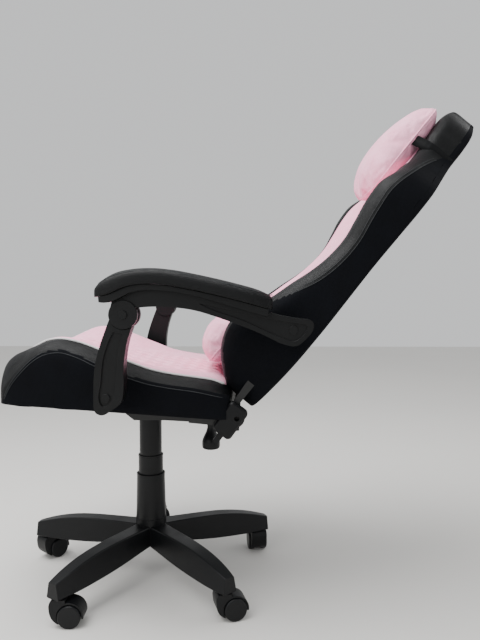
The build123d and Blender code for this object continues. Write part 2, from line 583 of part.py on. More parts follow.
def recline_lever():
    """Cross shaft that frees both recliners, with a handle beside the seat on the sitter's right."""
    hy, hz = RECLINE
    end = PLATE_IN_X + 2 * RECL_T + RECL_GAP + 3
    shaft = rod_x(hy, hz, CROSS_R, -SEAT_HALF_W - 18, end)
    path = FilletPolyline((hy, hz), (hy - 40, hz - 2), (hy - 62, hz + 22), (hy - 150, hz + 42), radius=18)
    wire = Plane.YZ.offset(-SEAT_HALF_W - 16) * path
    bar = sweep(Plane(origin=wire @ 0, z_dir=wire % 0) * Circle(4.0), wire)
    save("recline_lever", shaft + bar)
    start = wire @ 1
    along = (wire % 1).normalized()
    plane = Plane(origin=start - along * 62, x_dir=(1, 0, 0), z_dir=along)
    near, middle = plane * RectangleRounded(14, 16, 5), plane.offset(40) * RectangleRounded(18, 26, 7)
    grip = loft([near, middle, plane.offset(84) * RectangleRounded(16, 22, 6)], ruled=True)
    grip -= sweep(Plane(origin=wire @ 0, z_dir=wire % 0) * Circle(4.0 + FIT), wire)
    save("recline_grip", grip)


# ---- back ---------------------------------------------------------------------------------------------------
# front of the wings and of the middle, as s and t; half width as s and its share of the seat's
WING_FRONT = [
    (62.0, 125.0), (80.0, 141.0), (107.0, 148.0), (150.0, 134.0), (200.0, 112.0), (255.0, 95.0), (300.0, 80.0),
    (350.0, 69.0), (400.0, 67.0), (445.0, 75.0), (490.0, 84.0), (530.0, 86.0), (585.0, 71.0), (625.0, 60.0),
    (665.0, 58.0), (710.0, 64.0), (745.0, 66.0),
]
BACK_WIDTH = [
    (-10.0, 0.824), (40.0, 0.904), (110.0, 0.992), (200.0, 1.0), (300.0, 0.96), (400.0, 0.944), (470.0, 0.988),
    (530.0, 1.024), (580.0, 0.96), (625.0, 0.784), (665.0, 0.64), (720.0, 0.584), (765.0, 0.48), (783.0, 0.32),
]
MIDDLE_FRONT = [
    (40.0, 90.0), (100.0, 92.0), (180.0, 84.0), (280.0, 66.0), (400.0, 54.0), (520.0, 50.0), (640.0, 50.0),
    (745.0, 56.0),
]
BACK_PAD_T = 12.0
PANEL_S = (100.0, 745.0)
PANEL_HALF_W = (130.0, 108.0, 70.0)   # at its foot, middle and head
SEAT_BACK_GAP = 2.0


def back_side_face(front):
    """Side outline of the whole back in (s, t), under a front curve."""
    tip = (BACK_LEN - 22, 52.0)
    return outline(
        [(2.0, REAR_FACE_T), (BACK_LEN - 36, REAR_FACE_T)],
        [(BACK_LEN - 36, REAR_FACE_T), (BACK_LEN - 8, -2.0), (BACK_LEN, 22.0), tip, front[-1]],
        list(reversed(front)),
        [front[0], (-9.0, 4.0)],
        [(-9.0, 4.0), (-8.0, REAR_FACE_T + 4), (2.0, REAR_FACE_T)],
    )


def back_front_face():
    """Front outline of the back: half widths mirrored about the middle, drawn in (s, x)."""
    side = [(s, share * SEAT_HALF_W) for s, share in BACK_WIDTH]
    mirrored = [(s, -w) for s, w in reversed(side)]
    return outline(side, [side[-1], (BACK_LEN, 0.0), mirrored[0]], mirrored, [mirrored[-1], side[0]])


def back_through(face, t0, t1):
    """Solid swept from t0 to t1 through the back; the face is drawn in (s, x)."""
    lean = math.radians(BACK_LEAN_DEG)
    u = Vector(0, math.sin(lean), math.cos(lean))
    n = Vector(0, -math.cos(lean), math.sin(lean))
    plane = Plane(origin=Vector(0, *BACK_TAIL) + n * t0, x_dir=u, z_dir=n)
    return extrude(plane * face, t1 - t0)


def panel(grow):
    """Front outline of the back's centre panel, drawn in (s, x)."""
    side = [(PANEL_S[0] - grow, PANEL_HALF_W[0] + grow), (sum(PANEL_S) / 2, PANEL_HALF_W[1] + grow),
            (PANEL_S[1] + grow, PANEL_HALF_W[2] + grow)]
    return make_face(Polyline(*side, *[(s, -w) for s, w in reversed(side)], close=True))


def back():
    wide = 1.2 * SEAT_HALF_W
    wings = back_across(back_side_face(WING_FRONT), -wide, wide) & back_through(back_front_face(), -30, 170)
    valley_front = back_side_face(MIDDLE_FRONT)
    valley = back_through(Pos(430, 0) * Rectangle(900, 2 * BACK_VALLEY_HALF_W), -30, 200)
    middle = wings & back_across(valley_front, -BACK_VALLEY_HALF_W, BACK_VALLEY_HALF_W)
    whole = (wings - valley) + middle
    everywhere = Pos(400, 0) * Rectangle(1000, 2 * wide)
    rear = whole & back_through(everywhere, -30, REAR_COVER_T)
    front = whole & back_through(everywhere, REAR_COVER_T + CLEAR, 200)
    cavity = back_through(Pos(385, 0) * Rectangle(650, 340), REAR_COVER_T, FRAME_DEEP)
    neck_cut = back_through(Pos(665, 0) * Rectangle(120, 700), REAR_COVER_T - 1, FRAME_DEEP + 1)
    neck_keep = back_through(Pos(665, 0) * Rectangle(120, 2 * 128.0), REAR_COVER_T - 1, FRAME_DEEP + 1)
    cavity = (cavity - neck_cut) + (cavity & neck_keep)
    slot = back_across(Pos(70, 28) * Rectangle(170, 26), PLATE_IN_X - 2, PLATE_IN_X + 12)
    front = front - slot - other_side(slot)
    pad_points = [(s, t) for s, t in MIDDLE_FRONT if s > 90]
    low = [(s, t - BACK_PAD_T) for s, t in reversed(pad_points)]
    pad_side = outline(pad_points, [pad_points[-1], low[0]], low, [low[-1], pad_points[0]])
    pad = back_across(pad_side, -wide, wide) & back_through(panel(0.0), 0, 200)
    low_clear = [(s, t - CLEAR) for s, t in low]
    first, last = low_clear[0], low_clear[-1]
    above = outline([last, (99.0, 160.0)], [(99.0, 160.0), (746.0, 160.0)], [(746.0, 160.0), first], low_clear)
    pocket = back_across(above, -wide, wide) & back_through(panel(CLEAR), 0, 200)
    save("back_cushion_black", front - cavity - pocket - swept_seat())
    save("back_cushion_pink", pad)
    save("back_cover_rear", rear)


FRAME_DEEP = 37.0
FRAME_TUBE_R = 8.5
FRAME_T = 26.5


def back_frame():
    """Welded tube frame: two long side tubes and three cross tubes."""
    lean = math.radians(BACK_LEAN_DEG)
    u = Vector(0, math.sin(lean), math.cos(lean))

    def tube(s0, s1, x):
        start = Vector(x, *back_point(s0, FRAME_T))
        return extrude(Plane(origin=start, x_dir=(1, 0, 0), z_dir=u) * Circle(FRAME_TUBE_R), s1 - s0)

    frame = tube(75, 560, 156) + tube(75, 560, -156) + tube(540, 700, 112) + tube(540, 700, -112)
    for s, half in ((85, 156), (320, 156), (550, 156), (690, 112)):
        y, z = back_point(s, FRAME_T)
        frame += rod_x(y, z, FRAME_TUBE_R, -half, half)
    return frame


def swept_seat():
    """Room that the seat's rear needs in front of the back as the back rises."""
    hinge = Axis((0, *RECLINE), (1, 0, 0))
    wide = 1.2 * SEAT_HALF_W
    block = Pos(0, SEAT_BACK_GAP, SEAT_BACK_GAP) * across(seat_block(SEAT_CREST, 500.0), -wide, wide)
    steps = 6
    room = block
    for n in range(1, steps + 1):
        room += block.rotate(hinge, -RECLINE_UP_DEG * n / steps)
    return room


HEAD_PILLOW_HALF_W = 145.0
STRAP_S = 672.0
STRAP_W = 24.0
STRAP_SHARE = 0.6816             # strap's half width as a share of the seat's


def pillows():
    head = outline(
        [(788.0, 80.0), (776.0, 100.0), (745.0, 115.0), (700.0, 129.0), (655.0, 136.0), (610.0, 132.0),
         (566.0, 118.0), (543.0, 103.0), (532.0, 86.0)],
        [(532.0, 86.0), (552.0, 66.0), (640.0, 62.0), (735.0, 70.0), (788.0, 80.0)],
    )
    plan = Pos(660, 0) * RectangleRounded(262, 2 * HEAD_PILLOW_HALF_W, 62)
    save("head_pillow", back_across(head, -200, 200) & back_through(plan, 40, 160))
    rear_t, front_t, half = REAR_FACE_T - 2.2, 82.0, STRAP_SHARE * SEAT_HALF_W
    middle = Pos(STRAP_S, 0)
    outer = back_through(middle * Rectangle(STRAP_W, 2 * half + 3.2), rear_t - 1.6, front_t)
    inner = back_through(middle * Rectangle(STRAP_W + 6, 2 * half), rear_t, front_t + 5)
    save("head_strap", outer - inner)
    lumbar = outline(
        [(-10.0, 112.0), (-12.0, 128.0), (-6.0, 146.0), (8.0, 160.0), (30.0, 167.0), (90.0, 164.0), (130.0, 146.0),
         (158.0, 112.0)],
        [(158.0, 112.0), (120.0, 97.0), (40.0, 97.0), (-10.0, 112.0)],
    )
    save("lumbar_pillow", back_across(lumbar, -146, 146))


# ---- armrests -----------------------------------------------------------------------------------------------
PAD_TOP = [
    (-56.0, 711.0), (-45.0, 726.0), (-15.0, 744.0), (17.0, 751.0), (59.0, 753.0), (101.0, 749.0), (143.0, 741.0),
    (225.0, 722.0), (268.0, 709.0), (288.0, 697.0), (293.0, 684.0),
]
PAD_LOW = [
    (-46.0, 698.0), (-28.0, 702.0), (9.0, 717.0), (61.0, 722.0), (124.0, 713.0), (225.0, 690.0), (286.0, 673.0),
]
LEDGE = [
    (-45.0, 687.0), (-25.0, 687.0), (17.0, 706.0), (59.0, 711.0), (123.0, 704.0), (205.0, 682.0), (284.0, 660.0),
]
ARM_UNDER = [
    (30.0, 676.0), (63.0, 678.0), (105.0, 676.0), (143.0, 670.0), (186.0, 657.0), (259.0, 630.0), (305.0, 608.0),
]
PAD_HALF_W = 40.0
FLANGE_HALF_W = 30.0
TONGUE_HALF_W = 7.0
KNUCKLE_HALF_W = 21.0
BOLT_R = 5.0
LINK_EDGE = [
    (-22.0, 668.0), (-33.0, 640.0), (-44.0, 610.0), (-56.0, 567.0), (-60.5, 524.0), (-61.0, 486.0), (-57.0, 467.0),
    (-46.0, 462.0), (-26.0, 471.0), (-7.0, 487.0), (-1.0, 509.0), (0.0, 557.0), (3.0, 589.0), (13.0, 628.0),
    (22.0, 650.0),
]


def arm_profile():
    """Side outline of the moulded arm under its pad, out to the rear bolt."""
    ry, rz = ARM_REAR
    tail = [(305.0, 608.0), (ry - 7, rz - 31), (ry + 7, rz - 31), (ry + 24, rz - 18), (ry + 38, rz),
            (ry + 39, rz + 14), (ry + 28, rz + 21)]
    return outline(
        ARM_UNDER,
        tail,
        [tail[-1], (ry - 20, rz + 28), (284.0, 668.0)],
        [(284.0, 668.0), (225.0, 687.0), (124.0, 710.0), (61.0, 718.0), (9.0, 713.0), (-20.0, 698.0)],
        [(-20.0, 698.0), (-26.0, 674.0)],
        [(-26.0, 674.0), ARM_UNDER[0]],
    )


def arm_frame():
    fy, fz = ARM_FRONT
    ry, rz = ARM_REAR
    x0, x1 = ARM_X - ARM_W / 2, ARM_X + ARM_W / 2
    body = across(arm_profile(), x0, x1)
    flange = outline(PAD_LOW, [PAD_LOW[-1], LEDGE[-1]], LEDGE[::-1], [LEDGE[0], PAD_LOW[0]])
    body += across(flange, ARM_X - FLANGE_HALF_W, ARM_X + FLANGE_HALF_W)
    body += rod_x(fy, fz, KNUCKLE_R, ARM_X - KNUCKLE_HALF_W, ARM_X + KNUCKLE_HALF_W)
    slot = TONGUE_HALF_W + 0.5
    body -= rod_x(fy, fz, KNUCKLE_R + 4, ARM_X - slot, ARM_X + slot)
    body -= across(Pos(fy - 10, fz - 22) * Rectangle(70, 50), ARM_X - slot, ARM_X + slot)
    body -= rod_x(fy, fz, BOLT_R + RUN, ARM_X - 40, ARM_X + 40)
    panel = outline(
        [(150.0, 684.0), (225.0, 668.0), (284.0, 655.0), (ry + 18, rz + 12)],
        [(ry + 18, rz + 12), (ry + 27, rz + 6), (ry + 22, rz - 6), (ry + 4, rz - 21), (ry - 10, rz - 20)],
        [(ry - 10, rz - 20), (295.0, 624.0), (225.0, 655.0), (175.0, 672.0), (150.0, 684.0)],
    )
    body -= across(panel, x1 - 3.0, x1 + 1)
    body += rod_x(ry, rz, 9.0, x1 - 6, x1 - 0.8)
    return body - rod_x(ry, rz, BOLT_R + REAR_PIVOT_PLAY, x0 - 1, x1 - 8)


def link():
    fy, fz = ARM_FRONT
    ly, lz = LINK_LOWER
    x0, x1 = ARM_X - ARM_W / 2, ARM_X + ARM_W / 2
    face = outline(LINK_EDGE, [LINK_EDGE[-1], LINK_EDGE[0]])
    body = across(face, x0, x1)
    body -= rod_x(fy, fz, KNUCKLE_R + 1.0, x0 - 1, x1 + 1)
    body += across(face, ARM_X - TONGUE_HALF_W, ARM_X + TONGUE_HALF_W) & rod_x(fy, fz, KNUCKLE_R + 2, x0, x1)
    body += rod_x(fy, fz, 22.0, ARM_X - TONGUE_HALF_W, ARM_X + TONGUE_HALF_W)
    channel = outline(
        [(-20.0, 628.0), (-33.0, 600.0), (-43.0, 560.0), (-47.0, 520.0), (-50.0, 492.0), (-44.0, 480.0)],
        [(-44.0, 480.0), (-32.0, 483.0), (-22.0, 500.0), (-17.0, 530.0), (-14.0, 570.0), (-8.0, 602.0), (-1.0, 624.0)],
        [(-1.0, 624.0), (-20.0, 628.0)],
    )
    body -= across(channel, x1 - 4.0, x1 + 1)
    body += rod_x(ly, lz, 8.5, x0 + 4, x1 - 1.0)
    body -= rod_x(ly, lz, BOLT_R + RUN, x0 - 1, x1 - 6)
    return body - rod_x(fy, fz, BOLT_R + RUN, x0 - 10, x1 + 10)


def armrests():
    fy, fz = ARM_FRONT
    ly, lz = LINK_LOWER
    ry, rz = ARM_REAR
    x0 = ARM_X - ARM_W / 2
    pad = across(pad_outline(), ARM_X - PAD_HALF_W, ARM_X + PAD_HALF_W)
    knuckle_bolt = rod_x(fy, fz, BOLT_R, ARM_X - KNUCKLE_HALF_W, ARM_X + KNUCKLE_HALF_W + 1)
    knuckle_bolt += rod_x(fy, fz, 8.5, ARM_X + KNUCKLE_HALF_W + 0.1, ARM_X + KNUCKLE_HALF_W + 3)
    for side, turn in (("left", lambda s: s), ("right", other_side)):
        save(f"arm_frame_{side}", turn(arm_frame()), turn(knuckle_bolt))
        save(f"arm_pad_{side}", turn(pad))
        save(f"arm_link_{side}", turn(link()))
    seat_side = SEAT_HALF_W + CLEAR
    bolt = rod_x(ly, lz, 14.0, seat_side, x0 - 0.5) + rod_x(ly, lz, BOLT_R, seat_side, x0 + 20)
    save("link_bolts", bolt, other_side(bolt))
    back_side = REAR_MOUNT_X + CLEAR
    mount = rod_x(ry, rz, 13.0, back_side, x0 - 1.5) + rod_x(ry, rz, BOLT_R, back_side, x0 + ARM_W - 9)
    save("arm_rear_mounts", mount, other_side(mount))


def pad_outline():
    low = [(y, z + CLEAR) for y, z in PAD_LOW]
    return outline(PAD_TOP, [PAD_TOP[-1], low[-1]], low[::-1], [low[0], PAD_TOP[0]])


save("star_base", star_base())
casters()
gas_lift()
lift_covers()
mechanism()
lift_lever()
seat()
recliner()
recline_lever()
back()
save("back_frame", back_frame())
pillows()
armrests()
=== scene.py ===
"""Reclining gaming chair: looks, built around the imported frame.  Metres; +Z up; the sitter faces -Y."""
import math

import bmesh
import bpy
import numpy as np
from mathutils import Matrix, Vector
from mathutils.bvhtree import BVHTree


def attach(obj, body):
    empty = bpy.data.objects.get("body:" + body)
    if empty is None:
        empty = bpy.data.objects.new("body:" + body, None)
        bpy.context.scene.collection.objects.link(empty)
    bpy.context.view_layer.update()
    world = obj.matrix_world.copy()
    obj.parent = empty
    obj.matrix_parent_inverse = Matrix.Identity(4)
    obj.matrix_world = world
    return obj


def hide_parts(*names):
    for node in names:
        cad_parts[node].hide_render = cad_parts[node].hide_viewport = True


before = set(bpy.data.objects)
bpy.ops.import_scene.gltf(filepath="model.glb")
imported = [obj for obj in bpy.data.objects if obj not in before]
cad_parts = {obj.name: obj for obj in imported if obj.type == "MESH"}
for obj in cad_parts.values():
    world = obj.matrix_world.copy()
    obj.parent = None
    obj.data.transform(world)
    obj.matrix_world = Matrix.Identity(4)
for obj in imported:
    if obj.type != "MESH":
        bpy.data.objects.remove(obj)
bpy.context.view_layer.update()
MM = 0.001

# ---- camera, floor and light -------------------------------------------------------------------------------
# A phone-like lens 1.5 m from the chair's left side, tipped slightly down.  The floor is pale and plain.
# The light is a broad soft panel overhead and two weaker ones, beside the camera and behind the chair.
CAMERA_AT = Vector((1.5027, 0.2246, 0.7123))
CAMERA_TURN = math.radians(0.95)
CAMERA_TIP = math.radians(87.08)
LENS_MM = 33.98
FLOOR = 6.0
LIGHT_AIM = Vector((0, 0.15, 0.55))


def linear(hex_colour):
    """sRGB hex to a linear RGBA tuple, by the sRGB transfer curve."""
    parts = [int(hex_colour[i:i + 2], 16) / 255 for i in (1, 3, 5)]
    return tuple(c / 12.92 if c <= 0.04045 else ((c + 0.055) / 1.055) ** 2.4 for c in parts) + (1.0,)


def add(tree, kind, links=None, **settings):
    """Adds one shader node: links are its inputs' sockets or values, settings its own properties."""
    made = tree.nodes.new(kind)
    for key, value in settings.items():
        setattr(made, key, value)
    for key, value in (links or {}).items():
        if isinstance(value, bpy.types.NodeSocket):
            tree.links.new(value, made.inputs[key])
        else:
            made.inputs[key].default_value = value
    return made


def material(name, colour, rough, **sockets):
    """A new material of that colour and roughness; returns it, its node tree and its Principled shader."""
    made = bpy.data.materials.new(name)
    made.use_nodes = True
    tree = made.node_tree
    shader = tree.nodes["Principled BSDF"]
    shader.inputs["Base Color"].default_value = linear(colour)
    shader.inputs["Roughness"].default_value = rough
    for key, value in sockets.items():
        shader.inputs[key.replace("_", " ")].default_value = value
    return made, tree, shader


camera = bpy.data.objects.new("camera", bpy.data.cameras.new("camera"))
bpy.context.scene.collection.objects.link(camera)
camera.data.lens = LENS_MM
camera.data.sensor_width = 36.0
turn = Matrix.Rotation(CAMERA_TURN, 4, "Z")
camera.location = turn @ CAMERA_AT
camera.rotation_euler = (CAMERA_TIP, 0, math.radians(90) + CAMERA_TURN)
bpy.context.scene.camera = camera

floor_mat, tree, shader = material("painted_screed", "#dcdad6", 0.75)
grain = add(tree, "ShaderNodeTexNoise", {"Scale": 9.0, "Detail": 4.0})
tone = add(tree, "ShaderNodeMix", {0: grain.outputs["Fac"], 6: linear("#d8d6d2"), 7: linear("#e0deda")},
           data_type="RGBA")
tree.links.new(tone.outputs[2], shader.inputs["Base Color"])
floor_mesh = bpy.data.meshes.new("floor")
floor_corners = [(-FLOOR, -FLOOR, 0), (FLOOR, -FLOOR, 0), (FLOOR, FLOOR, 0), (-FLOOR, FLOOR, 0)]
floor_mesh.from_pydata(floor_corners, [], [(0, 1, 2, 3)])
floor_mesh.materials.append(floor_mat)
floor = bpy.data.objects.new("floor", floor_mesh)
bpy.context.scene.collection.objects.link(floor)

world = bpy.data.worlds.new("studio")
bpy.context.scene.world = world
world.use_nodes = True
world.node_tree.nodes["Background"].inputs["Color"].default_value = linear("#f4f5f6")
world.node_tree.nodes["Background"].inputs["Strength"].default_value = 0.85
for name, at, size, watts in (
    ("overhead", (0.4, -0.6, 2.6), 2.0, 96.0),
    ("beside_camera", (2.4, -1.4, 1.6), 1.6, 20.0),
    ("rear_window", (-0.8, 2.4, 1.8), 1.4, 12.0),
):
    lamp = bpy.data.lights.new(name, "AREA")
    lamp.size, lamp.energy = size, watts
    lamp_obj = bpy.data.objects.new(name, lamp)
    lamp_obj.location = at
    lamp_obj.rotation_euler = (LIGHT_AIM - Vector(at)).to_track_quat("-Z", "Y").to_euler()
    bpy.context.scene.collection.objects.link(lamp_obj)


# ---- star base, caster hoods and column sleeves ------------------------------------------------------------
# Injection-moulded black nylon and ABS.  A spark-eroded mould leaves a fine even grain, so highlights are
# broad and soft, and the moulding's edges have a small radius.


def object_coords(tree):
    return add(tree, "ShaderNodeTexCoord").outputs["Object"]


def moulded(name, colour, rough, grain_mm, grain_depth, edge_mm):
    """Moulded plastic: fine noise bump over softened edges, with faint rubbed patches in the roughness."""
    made, tree, shader = material(name, colour, rough, Specular_IOR_Level=0.24)
    place = object_coords(tree)
    edges = add(tree, "ShaderNodeBevel", {"Radius": edge_mm * MM}, samples=4)
    fine = add(tree, "ShaderNodeTexNoise", {"Vector": place, "Scale": 1 / (grain_mm * MM), "Detail": 2.0})
    bump = add(tree, "ShaderNodeBump", {"Height": fine.outputs["Fac"], "Distance": grain_depth * MM,
                                        "Strength": 0.6, "Normal": edges.outputs["Normal"]})
    patch = add(tree, "ShaderNodeTexNoise", {"Vector": place, "Scale": 14.0, "Detail": 3.0})
    worn = add(tree, "ShaderNodeMapRange", {"Value": patch.outputs["Fac"], "From Min": 0.3, "From Max": 0.7,
                                            "To Min": rough - 0.06, "To Max": rough + 0.07})
    tree.links.new(worn.outputs["Result"], shader.inputs["Roughness"])
    tree.links.new(bump.outputs["Normal"], shader.inputs["Normal"])
    return made


def paint_node(made, *names):
    for name in names:
        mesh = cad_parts[name].data
        mesh.materials.clear()
        mesh.materials.append(made)


nylon = moulded("glass_filled_nylon", "#0a0b0d", 0.44, 1.6, 0.25, 1.2)
sleeve_abs = moulded("abs_column_sleeve", "#07080a", 0.40, 2.2, 0.05, 0.8)
wheel_nylon = moulded("wheel_nylon", "#0c0d0f", 0.36, 2.5, 0.05, 0.8)
arm_abs = moulded("satin_abs_armrest", "#090a0b", 0.42, 2.0, 0.12, 1.6)
paint_node(nylon, "star_base", *[f"caster_{n}_hood" for n in range(1, 6)])
paint_node(wheel_nylon, *[f"caster_{n}_wheel_{side}" for n in range(1, 6) for side in "ab"])
paint_node(sleeve_abs, "cover_lower", "cover_middle", "cover_upper", "tension_knob", "lift_lever_paddle",
           "recline_grip", "recliner_covers")
paint_node(arm_abs, "arm_frame_left", "arm_frame_right", "arm_link_left", "arm_link_right")

# ---- steelwork ---------------------------------------------------------------------------------------------
# Pressed plates, tubes and the gas cylinder are powder-coated black; stems, rod and screws are zinc plated.


def plated(name, colour, metallic, rough, streak_mm):
    """Steel: plating or powder coat with fine mottling in the roughness and softened edges."""
    made, tree, shader = material(name, colour, rough, Metallic=metallic)
    place = object_coords(tree)
    mottle = add(tree, "ShaderNodeTexNoise", {"Vector": place, "Scale": 1 / (streak_mm * MM), "Detail": 5.0})
    spread = add(tree, "ShaderNodeMapRange", {"Value": mottle.outputs["Fac"], "To Min": rough - 0.1,
                                              "To Max": rough + 0.12})
    edges = add(tree, "ShaderNodeBevel", {"Radius": 0.6 * MM}, samples=4)
    bump = add(tree, "ShaderNodeBump", {"Height": mottle.outputs["Fac"], "Distance": 0.05 * MM,
                                        "Strength": 0.4, "Normal": edges.outputs["Normal"]})
    tree.links.new(spread.outputs["Result"], shader.inputs["Roughness"])
    tree.links.new(bump.outputs["Normal"], shader.inputs["Normal"])
    return made


powder_coat = plated("black_powder_coat", "#08090a", 0.0, 0.5, 3.0)
zinc = plated("zinc_plate", "#a9abad", 1.0, 0.35, 6.0)
black_oxide = plated("black_oxide_bolt", "#1c1d1f", 0.6, 0.36, 4.0)
paint_node(powder_coat, "lift_outer_tube", "lift_cylinder", "tilt_housing", "seat_plate", "seat_frame",
           "back_frame", "recliner_seat_plates", "recliner_back_plates", "lift_lever", "recline_lever",
           "tilt_spring")
paint_node(zinc, "caster_stems", "lift_rod", "lift_valve_pin", "mechanism_fasteners", "lift_bearings")
paint_node(black_oxide, "link_bolts", "arm_rear_mounts")

# ---- cloths ------------------------------------------------------------------------------------------------
# Three covers: a pale pink short-nap weave, a navy-black woven side cloth and black artificial leather.
# The real threads are under half a millimetre, too fine to show, so each weave is about four times as coarse.


def woven(name, light, dark, thread_mm, depth, rough, sheen):
    """Weave: bands of threads along three crossed axes as bump, with soft mottling in the colour."""
    made, tree, shader = material(name, light, rough, Sheen_Weight=sheen, Sheen_Roughness=0.5,
                                  Specular_IOR_Level=0.15)
    place = object_coords(tree)
    turned = add(tree, "ShaderNodeMapping", {"Vector": place, "Rotation": (0.4, 0.25, 0.1)})
    scale = 1 / (thread_mm * MM) / 20
    bands = [add(tree, "ShaderNodeTexWave", {"Vector": turned.outputs["Vector"], "Scale": scale,
                                             "Distortion": 1.2, "Detail": 2.0}, bands_direction=axis)
             for axis in "XYZ"]
    two = add(tree, "ShaderNodeMath", {0: bands[0].outputs["Fac"], 1: bands[1].outputs["Fac"]},
              operation="ADD")
    weave = add(tree, "ShaderNodeMath", {0: two.outputs[0], 1: bands[2].outputs["Fac"]}, operation="ADD")
    fibre = add(tree, "ShaderNodeTexNoise", {"Vector": place, "Scale": 420.0, "Detail": 3.0})
    mottle = add(tree, "ShaderNodeTexNoise", {"Vector": place, "Scale": 26.0, "Detail": 4.0})
    both = add(tree, "ShaderNodeMath", {0: fibre.outputs["Fac"], 1: mottle.outputs["Fac"]},
               operation="MULTIPLY")
    tone = add(tree, "ShaderNodeMapRange", {"Value": both.outputs[0], "From Min": 0.12, "From Max": 0.4})
    colour = add(tree, "ShaderNodeMix", {0: tone.outputs["Result"], 6: linear(dark), 7: linear(light)},
                 data_type="RGBA")
    height = add(tree, "ShaderNodeMath", {0: weave.outputs[0], 1: fibre.outputs["Fac"]},
                 operation="ADD")
    bump = add(tree, "ShaderNodeBump", {"Height": height.outputs[0], "Distance": depth * MM, "Strength": 0.5})
    tree.links.new(colour.outputs[2], shader.inputs["Base Color"])
    tree.links.new(bump.outputs["Normal"], shader.inputs["Normal"])
    return made


def coated_leather(name, colour, crease_shade, rough, grain_mm):
    """Artificial leather: pebble grain from cell edges, broad stretch creases with painted shade in their
    hollows, and a rubbed sheen in the roughness.
    """
    made, tree, shader = material(name, colour, rough, Specular_IOR_Level=0.2)
    place = object_coords(tree)
    cells = add(tree, "ShaderNodeTexVoronoi", {"Vector": place, "Scale": 1 / (grain_mm * MM)},
                feature="DISTANCE_TO_EDGE")
    pebble = add(tree, "ShaderNodeMapRange", {"Value": cells.outputs["Distance"], "From Max": 0.12})
    crease = add(tree, "ShaderNodeTexNoise", {"Vector": place, "Scale": 30.0, "Detail": 5.0,
                                              "Distortion": 0.6})
    wide = add(tree, "ShaderNodeMath", {0: crease.outputs["Fac"], 1: 3.0}, operation="MULTIPLY")
    height = add(tree, "ShaderNodeMath", {0: pebble.outputs["Result"], 1: wide.outputs[0]}, operation="ADD")
    bump = add(tree, "ShaderNodeBump", {"Height": height.outputs[0], "Distance": 0.35 * MM, "Strength": 0.55})
    # Painted shade: the colour falls to the darker second colour where the crease noise is low, in the
    # creases' hollows.
    tone = add(tree, "ShaderNodeMix", {0: crease.outputs["Fac"], 6: linear(crease_shade), 7: linear(colour)},
               data_type="RGBA")
    shine = add(tree, "ShaderNodeMapRange", {"Value": crease.outputs["Fac"], "From Min": 0.3, "From Max": 0.7,
                                             "To Min": rough + 0.08, "To Max": rough - 0.05})
    tree.links.new(tone.outputs[2], shader.inputs["Base Color"])
    tree.links.new(shine.outputs["Result"], shader.inputs["Roughness"])
    tree.links.new(bump.outputs["Normal"], shader.inputs["Normal"])
    return made


pink = woven("pink_short_nap_weave", "#ffc0d6", "#f6a9c4", 2.2, 0.30, 0.88, 0.1)
side_cloth = woven("navy_black_side_cloth", "#05070d", "#030408", 2.0, 0.15, 0.9, 0.0)
# Each leather's second, darker colour is painted shade for the hollows of its creases.
leather = coated_leather("black_coated_leather", "#08090b", "#040506", 0.45, 2.6)
thread = coated_leather("black_thread", "#343638", "#242628", 0.6, 2.0)
silver_cord = coated_leather("silver_piping", "#e6e4e4", "#cfcdce", 0.35, 2.5)
strap_web = woven("black_elastic_web", "#0a0b0d", "#060708", 1.6, 0.25, 0.75, 0.0)


# ---- seat --------------------------------------------------------------------------------------------------
# Cut foam on a steel frame: two side bolsters that rise at the front and fade out to the rear, with a flat
# quilted middle.  Black leather wraps the nose and the bolsters' outer edge, woven cloth covers the sides, and
# the pink top is sewn in with silver piping.
SEAT_FRONT, SEAT_REAR, SEAT_HALF = -0.286, 0.212, 0.250
SEAT_SLOPE = math.tan(math.radians(3.9))
SEAT_BASE_Z = 0.4518
PINK_HALF = 0.207
PINK_FRONT, PINK_REAR = -0.252, 0.200
QUILT_HALF = 0.116
DIAMOND = (0.046, 0.060)
SEAT_POWER = 11.0       # how square the seat's edges are
EDGE_DROP = 0.006       # the leather falls this much at its outer edge
TUCK = 0.003            # a pink panel's rim goes this deep under the leather
PIPING_R = 0.0024
THREAD_R = 0.0009
ROW_GAP = 0.006         # between the two rows of a double stitch
SIDE_FROM = 0.2         # side cloth starts this far out,
SIDE_FACING = 0.35      # where the skin faces sideways at least this much


def smooth_curve(points):
    """Cubic through points in millimetres, sloped by their neighbours; returns a function in metres."""
    xs, ys = np.array(points, float).T * MM
    slopes = np.gradient(ys, xs)

    def value(x):
        x = np.clip(x, xs[0], xs[-1])
        i = np.clip(np.searchsorted(xs, x) - 1, 0, len(xs) - 2)
        h = xs[i + 1] - xs[i]
        t = (x - xs[i]) / h
        keep, rise = 2 * t**3 - 3 * t**2 + 1, t**3 - 2 * t**2 + t
        fade = t**3 - t**2
        return keep * ys[i] + rise * h * slopes[i] + (1 - keep) * ys[i + 1] + fade * h * slopes[i + 1]

    return value


def step(x, low, high):
    """Smooth rise from 0 at low to 1 at high."""
    t = np.clip((x - low) / (high - low), 0, 1)
    return t * t * (3 - 2 * t)


def rounding(a, power):
    """Superellipse edge: 1 in the middle, falling to 0 where |a| reaches 1."""
    return np.clip(1 - np.abs(a) ** power, 0, 1) ** (1 / power)


def edge_stations(power, count, half, height):
    """Values of a from -1 to 1, evenly spaced along the superellipse edge of that half width and height."""
    angle = np.linspace(0, np.pi / 2, 4000)
    a, e = np.cos(angle) ** (2 / power), np.sin(angle) ** (2 / power)
    run = np.concatenate([[0], np.cumsum(np.hypot(np.diff(a) * half, np.diff(e) * height))])
    side = np.interp(np.linspace(0, run[-1], count), run, a)
    return np.concatenate([-side, side[::-1][1:]])


